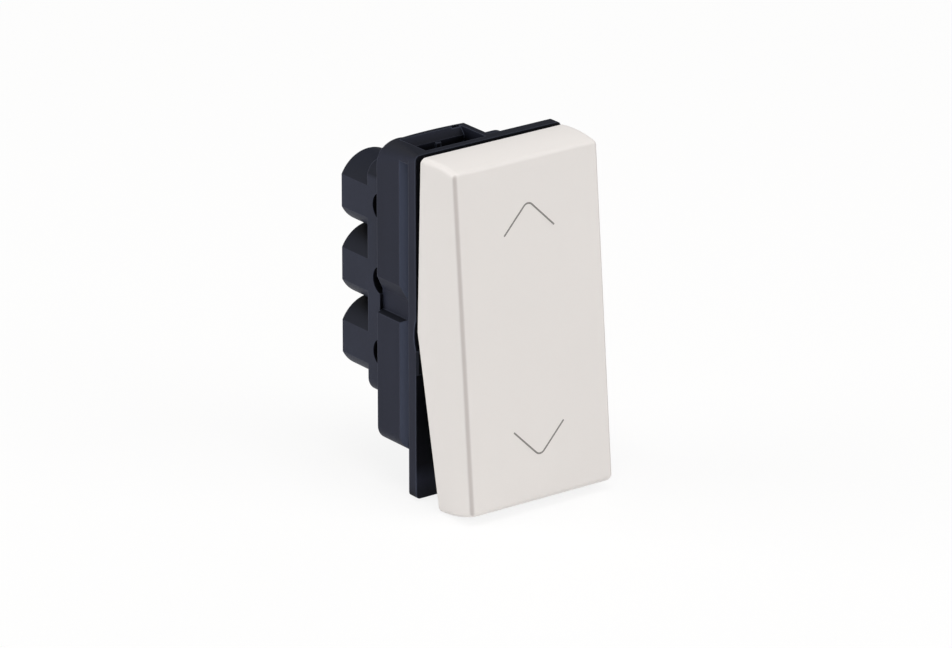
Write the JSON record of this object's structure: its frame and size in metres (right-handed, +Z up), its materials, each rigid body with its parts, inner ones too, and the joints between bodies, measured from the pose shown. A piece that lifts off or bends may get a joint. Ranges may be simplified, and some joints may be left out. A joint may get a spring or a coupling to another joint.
{
  "type": "rocker wall switch insert",
  "caption": "One-module rocker switch insert with up and down positions, for blinds, with side lamp pocket and rear screw terminals.",
  "frame": {"origin": "centre of the flange's back face, which seats on the support frame", "axes": "+X right seen from the front, +Y back into the wall, +Z up"},
  "size_m": [0.0222, 0.0278, 0.0454],
  "materials": {
    "dark_moulding": "matt anthracite moulding",
    "base_moulding": "matt anthracite moulding",
    "white_cap": "satin warm white moulding",
    "carrier_moulding": "matt grey moulding",
    "plunger_moulding": "natural acetal",
    "spring_steel": "drawn spring wire",
    "copper_sheet": "stamped copper alloy sheet",
    "silver_contact": "silver alloy rivet",
    "brass_block": "machined brass",
    "plated_screw": "zinc plated steel"
  },
  "bodies": {
    "base": {"housing": "dark_moulding", "terminal_base": "base_moulding", "common_terminal": "copper_sheet", "upper_terminal": "copper_sheet", "lower_terminal": "copper_sheet", "fixed_contact_upper": "silver_contact", "fixed_contact_lower": "silver_contact", "terminal_block_upper": "brass_block", "terminal_block_middle": "brass_block", "terminal_block_lower": "brass_block"},
    "rocker": {"rocker_cap": "white_cap", "rocker_carrier": "carrier_moulding", "plunger_spring": "spring_steel"},
    "plunger": {"plunger": "plunger_moulding"},
    "lever": {"contact_lever": "copper_sheet", "lever_contact_upper": "silver_contact", "lever_contact_lower": "silver_contact"},
    "screw_upper": {"terminal_screw_upper": "plated_screw"},
    "screw_middle": {"terminal_screw_middle": "plated_screw"},
    "screw_lower": {"terminal_screw_lower": "plated_screw"}
  },
  "joints": [
    {"name": "rocker_tilt", "type": "hinge", "parent": "base", "child": "rocker", "pos_m": [0, -0.0032, -0.00023], "axis": [1, 0, 0], "range_deg": [0, 9.5]},
    {"name": "plunger_slide", "type": "slide", "parent": "rocker", "child": "plunger", "axis": [0, -0.9966, 0.0828], "range_m": [0, 0.0006], "stiffness_N_per_m": 600, "springref_m": -0.001, "deforming": ["plunger_spring"]},
    {"name": "lever_rock", "type": "hinge", "parent": "base", "child": "lever", "pos_m": [0.004, 0.0057, -0.00023], "axis": [1, 0, 0], "range_deg": [-14, 0]},
    {"name": "screw_upper_feed", "type": "slide", "parent": "base", "child": "screw_upper", "axis": [1, 0, 0], "range_m": [0, 0.0008]},
    {"name": "screw_middle_feed", "type": "slide", "parent": "base", "child": "screw_middle", "axis": [1, 0, 0], "range_m": [0, 0.0008]},
    {"name": "screw_lower_feed", "type": "slide", "parent": "base", "child": "screw_lower", "axis": [1, 0, 0], "range_m": [0, 0.0008]}
  ],
  "couplings": [
    {"joint": "lever_rock", "follows": "rocker_tilt", "ratio": -1.4737}
  ]
}
